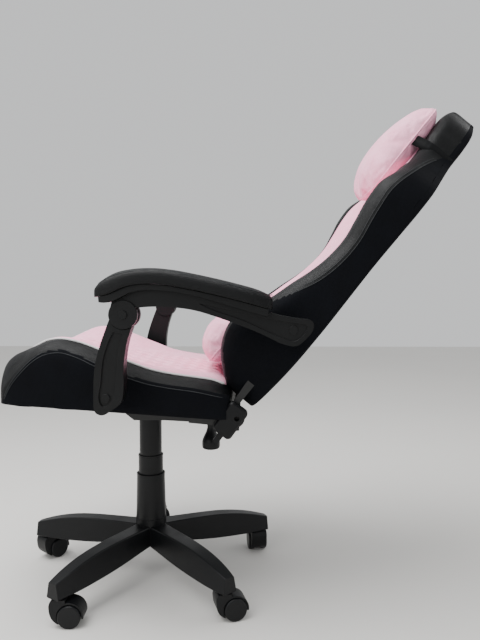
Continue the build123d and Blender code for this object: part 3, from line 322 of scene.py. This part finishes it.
def mesh_object(name, rows, materials):
    """Mesh from one or more point grids (rows x columns x 3) that share their rims; rims are welded shut."""
    verts, faces, start = [], [], 0
    for grid, flip in rows:
        nu, nv = grid.shape[:2]
        verts.append(grid.reshape(-1, 3))
        i, j = np.meshgrid(np.arange(nu - 1), np.arange(nv - 1), indexing="ij")
        near, far = i * nv + j, (i + 1) * nv + j
        quad = np.stack([near, far, far + 1, near + 1], -1).reshape(-1, 4) + start
        faces.append(quad[:, ::-1] if flip else quad)
        start += nu * nv
    mesh = bpy.data.meshes.new(name)
    mesh.from_pydata(np.concatenate(verts).tolist(), [], np.concatenate(faces).tolist())
    work = bmesh.new()
    work.from_mesh(mesh)
    bmesh.ops.remove_doubles(work, verts=work.verts, dist=2e-5)
    bmesh.ops.dissolve_degenerate(work, dist=2e-5, edges=work.edges)
    bmesh.ops.recalc_face_normals(work, faces=work.faces)
    work.to_mesh(mesh)
    work.free()
    for made in materials:
        mesh.materials.append(made)
    mesh.polygons.foreach_set("use_smooth", [True] * len(mesh.polygons))
    made = bpy.data.objects.new(name, mesh)
    bpy.context.scene.collection.objects.link(made)
    return made


def bead(name, path, radius, made, sides=8, closed=False):
    """Round cord of that radius carried along the path (n x 3), capped at its ends."""
    path = np.asarray(path, float)
    ahead = np.roll(path, -1, 0) - np.roll(path, 1, 0)
    if not closed:
        ahead[0], ahead[-1] = path[1] - path[0], path[-1] - path[-2]
    ahead /= np.linalg.norm(ahead, axis=1, keepdims=True)
    up = np.where(np.abs(ahead[:, 2:3]) > 0.9, [[1.0, 0, 0]], [[0, 0, 1.0]])
    side = np.cross(ahead, up)
    side /= np.linalg.norm(side, axis=1, keepdims=True)
    top = np.cross(side, ahead)
    angle = np.linspace(0, 2 * np.pi, sides + 1)
    ring = (path[:, None] + radius * (np.cos(angle)[None, :, None] * side[:, None] +
                                      np.sin(angle)[None, :, None] * top[:, None]))
    if closed:
        ring = np.concatenate([ring, ring[:1]])
    else:
        tip0 = np.repeat(path[:1][:, None], sides + 1, 1)
        tip1 = np.repeat(path[-1:][:, None], sides + 1, 1)
        ring = np.concatenate([tip0, ring, tip1])
    return mesh_object(name, [(ring, False)], [made])


def assign(piece, chooser):
    """Gives each face the material index that chooser returns from the face centres (n x 3) and normals."""
    mesh = piece.data
    count = len(mesh.polygons)
    centre, normal = np.empty(count * 3), np.empty(count * 3)
    mesh.polygons.foreach_get("center", centre)
    mesh.polygons.foreach_get("normal", normal)
    index = chooser(centre.reshape(-1, 3), normal.reshape(-1, 3)).astype(np.int32)
    mesh.polygons.foreach_set("material_index", index)


bolster_z = smooth_curve([(-290, 556), (-276, 566), (-262, 573), (-240, 580), (-212, 592), (-184, 603),
                          (-160, 606), (-120, 600), (-81, 586), (-12, 558), (34, 541), (81, 531), (133, 524),
                          (172, 519), (212, 503)])
middle_z = smooth_curve([(-290, 552), (-262, 569), (-240, 574), (-200, 574), (-150, 565), (-83, 550),
                         (0, 536), (81, 525), (133, 519), (172, 515), (212, 499)])
edge_z = smooth_curve([(-290, 488), (-278, 503), (-262, 529), (-238, 560), (-211, 587), (-184, 600),
                       (-160, 602), (-120, 595), (-81, 580), (-12, 550), (34, 533), (81, 523), (133, 516),
                       (212, 496)])
seam_z = smooth_curve([(-290, 440), (-274, 474), (-262, 500), (-229, 545), (-192, 576), (-154, 585),
                       (-111, 574), (-77, 558), (-12, 534), (34, 520), (81, 511), (133, 504), (212, 486)])
SEAT_MID_Y = (SEAT_FRONT + SEAT_REAR) / 2
SEAT_HALF_L = (SEAT_REAR - SEAT_FRONT) / 2
PINK_MID, PINK_REACH = (PINK_FRONT + PINK_REAR) / 2, (PINK_REAR - PINK_FRONT) / 2


def seat_base(y):
    return SEAT_BASE_Z - y * SEAT_SLOPE


def seat_half(y):
    """Half width of the seat in plan: straight sides with rounded corners."""
    return SEAT_HALF * np.maximum(rounding((y - SEAT_MID_Y) / SEAT_HALF_L, 16.0), 1e-4)


def seat_top(x, y):
    """Height of the seat's skin above the floor: bolsters blended into the middle, edges rounded over."""
    out = np.abs(x)
    side = step(out, 0.112, 0.200)
    skin = middle_z(y) * (1 - side) + bolster_z(y) * side
    rim = step(out, 0.196, 0.252)
    skin = skin * (1 - rim) + np.minimum(edge_z(y), skin) * rim - EDGE_DROP * step(out, 0.22, 0.25)
    ends = rounding((y - SEAT_MID_Y) / SEAT_HALF_L, SEAT_POWER)
    fall = rounding(np.clip(x / seat_half(y), -1, 1), SEAT_POWER) * ends
    return seat_base(y) + (skin - seat_base(y)) * fall


def seat_body():
    a = edge_stations(SEAT_POWER, 90, SEAT_HALF, 0.13)
    b = edge_stations(SEAT_POWER, 95, SEAT_HALF_L, 0.11)
    y = SEAT_MID_Y + SEAT_HALF_L * b[None, :] + 0 * a[:, None]
    x = seat_half(y) * a[:, None]
    fold = 0.0012 * np.sin(y * 70 + 2 * np.sin(x * 30)) * step(np.abs(x), 0.15, 0.22) * step(-y, 0.0, 0.2)
    top = np.stack([x, y, seat_top(x, y) + fold], -1)
    bottom = np.stack([x, y, seat_base(y)], -1)
    made = mesh_object("seat_cover", [(top, False), (bottom, True)], [leather, side_cloth])

    def cloth(c, n):
        outside = (np.abs(c[:, 0]) > SIDE_FROM) & (np.abs(n[:, 0]) > SIDE_FACING)
        return outside & (c[:, 2] < seam_z(c[:, 1]))

    assign(made, cloth)
    return made


def pink_half(b):
    """Half width of the pink top: broad at the rear, drawn in round the nose."""
    return PINK_HALF * np.maximum(np.where(b < 0, rounding(b, 5.0), rounding(b, 22.0)), 1e-4)


def quilting(x, y):
    """Depth of the diamond stitching: crossed rows of narrow grooves, with the foam puffed between them."""
    p, q = x / DIAMOND[0] + y / DIAMOND[1], x / DIAMOND[0] - y / DIAMOND[1]
    near = [np.abs(v - np.round(v)) * 0.5 * DIAMOND[0] for v in (p, q)]
    groove = sum(np.exp(-(d / 0.0024) ** 2) for d in near)
    puff = np.abs(np.sin(np.pi * p) * np.sin(np.pi * q)) ** 0.6
    inside = step(QUILT_HALF - np.abs(x), 0.0, 0.006) * step(y, -0.225, -0.215)
    edge = np.exp(-((np.abs(x) - QUILT_HALF) / 0.003) ** 2)
    return inside * (0.0030 * puff - 0.0030 * np.minimum(groove, 1)) - 0.0026 * edge


def seat_pink():
    a = np.linspace(-1, 1, 190)
    b = np.linspace(-1, 1, 210)
    y = PINK_MID + PINK_REACH * b[None, :] + 0 * a[:, None]
    x = pink_half(b)[None, :] * a[:, None]
    swell = rounding(a[:, None], 14.0) * rounding(b[None, :], 14.0)
    skin = seat_top(x, y)
    top = np.stack([x, y, skin - TUCK + 0.0075 * swell + quilting(x, y) * swell], -1)
    under = np.stack([x, y, skin - TUCK - 0.003 * swell], -1)
    return mesh_object("seat_pink_top", [(top, False), (under, True)], [pink])


seat_cover = seat_body()
seat_pink_top = seat_pink()
on_seat = [seat_cover, seat_pink_top]


def side_x(y, z):
    """How far out the seat's skin is at that height, by the superellipse's own formula."""
    full = edge_z(y) - EDGE_DROP - seat_base(y)
    ends = rounding((y - SEAT_MID_Y) / SEAT_HALF_L, SEAT_POWER)
    share = np.clip((z - seat_base(y)) / (full * ends), 0, 0.999)
    return seat_half(y) * (1 - share**SEAT_POWER) ** (1 / SEAT_POWER)


run = np.linspace(-0.985, 0.97, 160)
seam_y = np.linspace(-0.268, 0.196, 160)
for side, word in ((1, "left"), (-1, "right")):
    y, x = PINK_MID + PINK_REACH * run, side * (pink_half(run) + 0.0008)
    path = np.stack([x, y, seat_top(x, y) + 0.0016], -1)
    on_seat.append(bead(f"seat_piping_{word}", path, PIPING_R, silver_cord))
    for n, drop in enumerate((0.0, ROW_GAP)):
        z = seam_z(seam_y) - drop
        path = np.stack([side * (side_x(seam_y, z) + 0.0002), seam_y, z], -1)
        on_seat.append(bead(f"seat_seam_{word}_{n + 1}", path, THREAD_R, thread, sides=6))
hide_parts("seat_cushion_black")
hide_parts("seat_cushion_pink")
for piece in on_seat:
    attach(piece, "seat")
paint_node(side_cloth, "seat_webbing")

# ---- back --------------------------------------------------------------------------------------------------
# Foam on a tube frame, drawn up the lean: s runs from the tail to the head and t from the rear face forwards.
# Leather wraps the wings and the front and sides of the head, woven cloth covers the sides below it and the
# whole rear, and the pink panel fills the hollow between the wings.
BACK_TAIL = Vector((0, 0.252, 0.469))
LEAN = math.radians(39)
BACK_S = (-0.012, 0.797)
S_MID, S_HALF = sum(BACK_S) / 2, (BACK_S[1] - BACK_S[0]) / 2
SIDE_POWER, END_POWER = 10.0, 14.0      # how square the back's sides and its two ends are
WING_DROP = 0.008                       # the leather falls this much at a wing's outer edge
wing_t = smooth_curve([(-12, 70), (12, 96), (40, 122), (78, 141), (107, 147), (150, 134), (200, 112),
                       (255, 95), (300, 80), (350, 69), (400, 67), (445, 75), (490, 84), (530, 86),
                       (585, 71), (625, 62), (665, 60), (710, 65), (750, 66), (788, 60)])
hollow_t = smooth_curve([(-10, 60), (40, 88), (100, 92), (180, 84), (280, 66), (400, 54), (520, 50),
                         (640, 52), (745, 58), (788, 54)])
back_w = smooth_curve([(-10, 208), (40, 226), (110, 247), (200, 249), (300, 240), (400, 236), (470, 246),
                       (530, 253), (580, 240), (625, 200), (665, 166), (720, 150), (765, 132), (788, 108)])
rear_t = smooth_curve([(-13, -11), (100, -16), (208, -18), (400, -16), (550, -15), (662, -16), (752, -15),
                       (798, -9)])
side_seam_t = smooth_curve([(-10, 58), (60, 124), (120, 138), (200, 100), (300, 52), (400, 40), (470, 52),
                            (530, 58), (590, 44), (640, 26), (680, 6), (788, 0)])


def to_world(x, s, t):
    """Back coordinates to the chair's frame."""
    y = BACK_TAIL.y + s * math.sin(LEAN) - t * math.cos(LEAN)
    z = BACK_TAIL.z + s * math.cos(LEAN) + t * math.sin(LEAN)
    return np.stack([x + 0 * y, y, z], -1)


def back_half(s):
    return back_w(s) * np.maximum(rounding((s - S_MID) / S_HALF, 18.0), 1e-4)


def back_front(x, s):
    """Front skin of the back: wings blended into the hollow, rounded over at the edges."""
    share = np.abs(x) / np.maximum(back_w(s), 1e-4)
    wing = step(share, 0.50, 0.83)
    skin = hollow_t(s) * (1 - wing) + wing_t(s) * wing - WING_DROP * step(share, 0.9, 1.0)
    ends = rounding((s - S_MID) / S_HALF, END_POWER)
    fall = rounding(np.clip(x / back_half(s), -1, 1), SIDE_POWER) * ends
    return skin * fall


def back_body():
    a = edge_stations(SIDE_POWER, 90, 0.24, 0.09)
    b = edge_stations(END_POWER, 130, S_HALF, 0.06)
    s = S_MID + S_HALF * b[None, :] + 0 * a[:, None]
    x = back_half(s) * a[:, None]
    fold = 0.0010 * np.sin(s * 90 + 3 * np.sin(x * 20)) * step(np.abs(x), 0.12, 0.2) * step(s, 0.45, 0.6)
    front = to_world(x, s, back_front(x, s) + fold)
    crown = 0.005 * rounding(a[:, None], 3.0)
    fall = rounding(a[:, None], SIDE_POWER) * rounding(b[None, :], END_POWER)
    rear = to_world(x, s, (rear_t(s) - crown) * fall)
    made = mesh_object("back_cover", [(front, False), (rear, True)], [leather, side_cloth])

    def cloth(c, n):
        dy, dz = c[:, 1] - BACK_TAIL.y, c[:, 2] - BACK_TAIL.z
        s = dy * math.sin(LEAN) + dz * math.cos(LEAN)
        t = -dy * math.cos(LEAN) + dz * math.sin(LEAN)
        return t < side_seam_t(s)

    assign(made, cloth)
    return made


PANEL_S = (0.035, 0.742)
PANEL_MID, PANEL_REACH = sum(PANEL_S) / 2, (PANEL_S[1] - PANEL_S[0]) / 2


def panel_half(s):
    """Half width of the pink panel: a share of the back's, up to a limit, with rounded corners."""
    corners = np.maximum(rounding((s - PANEL_MID) / PANEL_REACH, 9.0), 1e-4)
    return np.minimum(back_w(s) * 0.72, 0.205) * corners


def back_pink():
    a, b = np.linspace(-1, 1, 120), np.linspace(-1, 1, 240)
    s = PANEL_MID + PANEL_REACH * b[None, :] + 0 * a[:, None]
    x = panel_half(s) * a[:, None]
    swell = rounding(a[:, None], 16.0) * rounding(b[None, :], 16.0)
    skin = back_front(x, s)
    channel = 0.0022 * np.exp(-((np.abs(x) - 0.092) / 0.003) ** 2) * swell
    front = to_world(x, s, skin - TUCK + 0.007 * swell - channel)
    under = to_world(x, s, skin - TUCK - 0.003 * swell)
    return mesh_object("back_pink_panel", [(front, False), (under, True)], [pink])


def edge_x(s, t):
    """How far out the back's skin is at that t."""
    full = (wing_t(s) - WING_DROP) * rounding((s - S_MID) / S_HALF, END_POWER)
    share = np.clip(t / full, 0, 0.999)
    return back_half(s) * (1 - share**SIDE_POWER) ** (1 / SIDE_POWER)


back_cover = back_body()
back_pink_panel = back_pink()
on_back = [back_cover, back_pink_panel]
s = np.linspace(0.04, 0.655, 220)
for side, word in ((1, "left"), (-1, "right")):
    for n, shift in enumerate((0.0, ROW_GAP)):
        t = side_seam_t(s) + shift
        path = to_world(side * (edge_x(s, t) + 0.0002), s, t)
        on_back.append(bead(f"back_seam_{word}_{n + 1}", path, THREAD_R, thread, sides=6))
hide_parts("back_cushion_black", "back_cover_rear")
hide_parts("back_cushion_pink")
for piece in on_back:
    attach(piece, "back")

# ---- pillows -----------------------------------------------------------------------------------------------
# Two fibre-filled bags in the pink weave, each of two panels sewn together round a piped seam.  They are blown
# up by a short cloth simulation with the seam held, which leaves the slack cloth's small creases.
HELD_NEAR_SEAM = 0.0065
FILL_FRAMES = 20
FILL_REACH = 0.009      # the filling moves no point further than this


def inflate(piece, seam, cap, voxel=0.005, pressure=4.0):
    """Remeshes the bag evenly, holds it near the seam, lets pressure fill it and caps how far points move."""
    remesh = piece.modifiers.new("even", "REMESH")
    remesh.mode, remesh.voxel_size = "VOXEL", voxel
    depsgraph = bpy.context.evaluated_depsgraph_get()
    even = bpy.data.meshes.new_from_object(piece.evaluated_get(depsgraph))
    piece.modifiers.clear()
    for made in piece.data.materials:
        if made.name not in even.materials:
            even.materials.append(made)
    piece.data = even
    count = len(even.vertices)
    before = np.empty(count * 3)
    even.vertices.foreach_get("co", before)
    before = before.reshape(-1, 3)
    near = np.min(np.linalg.norm(before[:, None] - seam[None, ::2], axis=2), axis=1)
    hold = piece.vertex_groups.new(name="hold")
    hold.add([int(i) for i in np.nonzero(near < HELD_NEAR_SEAM)[0]], 1.0, "REPLACE")
    cloth = piece.modifiers.new("fill", "CLOTH")
    settings = cloth.settings
    settings.quality = 6
    settings.mass = 0.15
    settings.use_pressure = True
    settings.uniform_pressure_force = pressure
    settings.vertex_group_mass = "hold"
    settings.tension_stiffness = settings.compression_stiffness = 8
    settings.bending_stiffness = 0.3
    settings.shrink_min = -0.04
    settings.effector_weights.gravity = 0
    cloth.collision_settings.use_collision = False
    scene = bpy.context.scene
    for number in range(1, FILL_FRAMES + 1):
        scene.frame_set(number)
    depsgraph = bpy.context.evaluated_depsgraph_get()
    blown = bpy.data.meshes.new_from_object(piece.evaluated_get(depsgraph))
    after = np.empty(count * 3)
    blown.vertices.foreach_get("co", after)
    move = after.reshape(-1, 3) - before
    size = np.linalg.norm(move, axis=1, keepdims=True)
    move *= np.minimum(1, cap / np.maximum(size, 1e-9))
    piece.modifiers.clear()
    piece.vertex_groups.clear()
    even.vertices.foreach_set("co", (before + move).ravel())
    even.update()
    scene.frame_set(1)


def shorter(a):
    """The bag's length narrows towards its two sides."""
    return 1 - 0.28 * np.abs(a) ** 2.6


def narrower(b):
    """The bag's width narrows a little towards its two ends."""
    return 0.90 + 0.10 * rounding(b, 2.0)


def signed_power(wave, power):
    """The wave raised to that power with its sign kept: a small power squares a circle's corners."""
    return np.sign(wave) * np.abs(wave) ** power


def bag(name, rim, front, rear, half_x, s_ends, powers):
    """Two panels from a common rim; rim, front and rear give t along s, and powers shape the edges."""
    a = edge_stations(powers[0], 50, half_x, 0.04)
    b = edge_stations(powers[1], 50, (s_ends[1] - s_ends[0]) / 2, 0.04)
    mid, half = sum(s_ends) / 2, (s_ends[1] - s_ends[0]) / 2
    s = mid + half * b[None, :] * shorter(a[:, None])
    x = half_x * a[:, None] * narrower(b[None, :])
    full = rounding(a[:, None], powers[0]) * rounding(b[None, :], powers[1])
    level = rim(s)
    pleat = 1 + 0.05 * np.sin(s * 160 + 1.3) * step(np.abs(a[:, None]), 0.6, 1.0)
    top = to_world(x, s, level + (front(s) - level) * full * pleat)
    low = to_world(x, s, level - (level - rear(s)) * full)
    return mesh_object(name, [(top, False), (low, True)], [pink])


def rim_path(rim, half_x, s_ends, count=240):
    """The seam: once round the bag's edge."""
    mid, half = sum(s_ends) / 2, (s_ends[1] - s_ends[0]) / 2
    turn = np.linspace(0, 2 * np.pi, count, endpoint=False)
    a = signed_power(np.cos(turn), 0.12)
    b = signed_power(np.sin(turn), 0.12)
    s = mid + half * b * shorter(a)
    return to_world(half_x * a * narrower(b), s, rim(s))


def piped(piece, path, name):
    """Piping laid on the bag's skin along the seam."""
    work = bmesh.new()
    work.from_mesh(piece.data)
    tree = BVHTree.FromBMesh(work)
    work.free()
    laid = np.array([list(tree.find_nearest(Vector(p))[0]) for p in path])
    return bead(name, laid, 0.0019, pink, closed=True)


head_rim = smooth_curve([(520, 82), (600, 84), (680, 85), (760, 84), (815, 82)])
head_front = smooth_curve([(520, 112), (566, 126), (610, 133), (655, 134), (700, 129), (756, 117),
                           (815, 100)])
head_rear = smooth_curve([(520, 62), (600, 60), (680, 60), (760, 62), (815, 66)])
HEAD_S, HEAD_HALF = (0.532, 0.786), 0.143
head_pillow = bag("head_pillow_bag", head_rim, head_front, head_rear, HEAD_HALF, HEAD_S, (2.7, 2.3))
head_seam = rim_path(head_rim, HEAD_HALF, HEAD_S)

lumbar_rim = smooth_curve([(-15, 122), (30, 124), (100, 120), (165, 116)])
lumbar_front = smooth_curve([(-15, 158), (30, 170), (90, 166), (165, 138)])
lumbar_rear = smooth_curve([(-15, 100), (30, 96), (100, 96), (165, 100)])
LUMBAR_S, LUMBAR_HALF = (-0.010, 0.156), 0.143
lumbar_pillow = bag("lumbar_pillow_bag", lumbar_rim, lumbar_front, lumbar_rear, LUMBAR_HALF, LUMBAR_S,
                    (3.4, 2.6))
lumbar_seam = rim_path(lumbar_rim, LUMBAR_HALF, LUMBAR_S)

for piece, seam, name, body, node in (
    (head_pillow, head_seam, "head_pillow_piping", "back", "head_pillow"),
    (lumbar_pillow, lumbar_seam, "lumbar_pillow_piping", "lumbar_pillow", "lumbar_pillow"),
):
    inflate(piece, seam, FILL_REACH)
    piece.data.polygons.foreach_set("use_smooth", [True] * len(piece.data.polygons))
    finer = piece.modifiers.new("smooth", "SUBSURF")
    finer.levels = finer.render_levels = 1
    piping = piped(piece, seam, name)
    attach(piece, body)
    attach(piping, body)
    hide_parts(node)

# ---- head pillow's strap -----------------------------------------------------------------------------------
# A 24 mm elastic band sewn into the pillow's seam that runs round the neck of the back.
STRAP_W, STRAP_T, STRAP_S = 0.024, 0.0014, 0.672


def band(name, route, width_dir, thick, made):
    """Flat band: a rectangular section carried along the route."""
    route = np.asarray(route, float)
    along = np.gradient(route, axis=0)
    along /= np.linalg.norm(along, axis=1, keepdims=True)
    across = np.asarray(width_dir, float)[None, :]
    wide = across * STRAP_W / 2
    out = np.cross(along, across)
    out *= thick / 2 / np.linalg.norm(out, axis=1, keepdims=True)
    corners = [route + wide + out, route + wide - out, route - wide - out, route - wide + out]
    corners.append(corners[0])
    ring = np.stack(corners, 1)
    ends = [np.repeat(route[k:k + 1][:, None], 5, 1) for k in (0, -1)]
    return mesh_object(name, [(np.concatenate([ends[0], ring, ends[1]]), False)], [made])


half = float(back_w(np.array(STRAP_S + STRAP_W / 2))) + 0.003
route_xt = [(0.128, 0.085), (0.142, 0.078), (half - 0.006, 0.058), (half, 0.045), (half + 0.0006, 0.01),
            (half - 0.003, -0.012), (half - 0.02, -0.0165)]
xs = [p[0] for p in route_xt] + [-p[0] for p in reversed(route_xt)]
ts = [p[1] for p in route_xt] + [p[1] for p in reversed(route_xt)]
key = np.linspace(0, 1, len(xs))
fine = np.linspace(0, 1, 160)
xs, ts = np.interp(fine, key, xs), np.interp(fine, key, ts)
for _ in range(3):
    xs[1:-1] = (xs[:-2] + 2 * xs[1:-1] + xs[2:]) / 4
    ts[1:-1] = (ts[:-2] + 2 * ts[1:-1] + ts[2:]) / 4
strap_route = to_world(xs, np.full_like(xs, STRAP_S), ts)
strap = band("head_pillow_strap", strap_route, (0, math.sin(LEAN), math.cos(LEAN)), STRAP_T, strap_web)
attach(strap, "back")
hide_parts("head_strap")

# ---- armrest pads ------------------------------------------------------------------------------------------
# Moulded foam on a plastic tray, wrapped in the black leather, with one row of stitching round the top edge.
pad_top = smooth_curve([(-58, 716), (-45, 728), (-15, 745), (17, 752), (59, 754), (101, 750), (143, 742),
                        (225, 723), (268, 711), (296, 700)])
pad_low = smooth_curve([(-58, 696), (-28, 702), (9, 717), (61, 722.5), (124, 713.5), (225, 690.5),
                        (296, 671)])
PAD_Y, PAD_HALF, ARM_X = (-0.057, 0.294), 0.040, 0.300
PAD_SIDE_POWER, PAD_END_POWER, PAD_PLAN_POWER = 3.6, 9.0, 5.0
PAD_RIM = 0.008         # the pad's widest line is this far above its tray
STITCH_R = 0.0008


def arm_pad(name, side):
    a = edge_stations(PAD_SIDE_POWER, 40, PAD_HALF, 0.03)
    b = edge_stations(PAD_END_POWER, 90, (PAD_Y[1] - PAD_Y[0]) / 2, 0.03)
    mid, half = sum(PAD_Y) / 2, (PAD_Y[1] - PAD_Y[0]) / 2
    y = mid + half * b[None, :] + 0 * a[:, None]
    x = side * ARM_X + PAD_HALF * a[:, None] * np.maximum(rounding(b[None, :], PAD_PLAN_POWER), 1e-4)
    full = rounding(a[:, None], PAD_SIDE_POWER) * rounding(b[None, :], PAD_END_POWER)
    level = pad_low(y) + PAD_RIM
    top = np.stack([x, y, level + (pad_top(y) - level) * full], -1)
    low = np.stack([x, y, level - 0.0075 * np.minimum(1, 2 * full)], -1)
    made = mesh_object(name, [(top, False), (low, True)], [leather])
    turn = np.linspace(0, 2 * np.pi, 260, endpoint=False)
    u = 0.86 * signed_power(np.cos(turn), 0.5)
    v = 0.965 * signed_power(np.sin(turn), 0.16)
    y = mid + half * v
    x = side * ARM_X + PAD_HALF * u * rounding(v, PAD_PLAN_POWER)
    z = (pad_low(y) + PAD_RIM + (pad_top(y) - pad_low(y) - PAD_RIM) * rounding(u, PAD_SIDE_POWER) *
         rounding(v, PAD_END_POWER))
    stitch = bead(name + "_stitching", np.stack([x, y, z], -1), STITCH_R, thread, sides=6, closed=True)
    return made, stitch


for side, word in ((1, "left"), (-1, "right")):
    pad, stitch = arm_pad(f"armrest_cushion_{word}", side)
    for piece in (pad, stitch):
        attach(piece, f"arm_{word}")
    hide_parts(f"arm_pad_{word}")
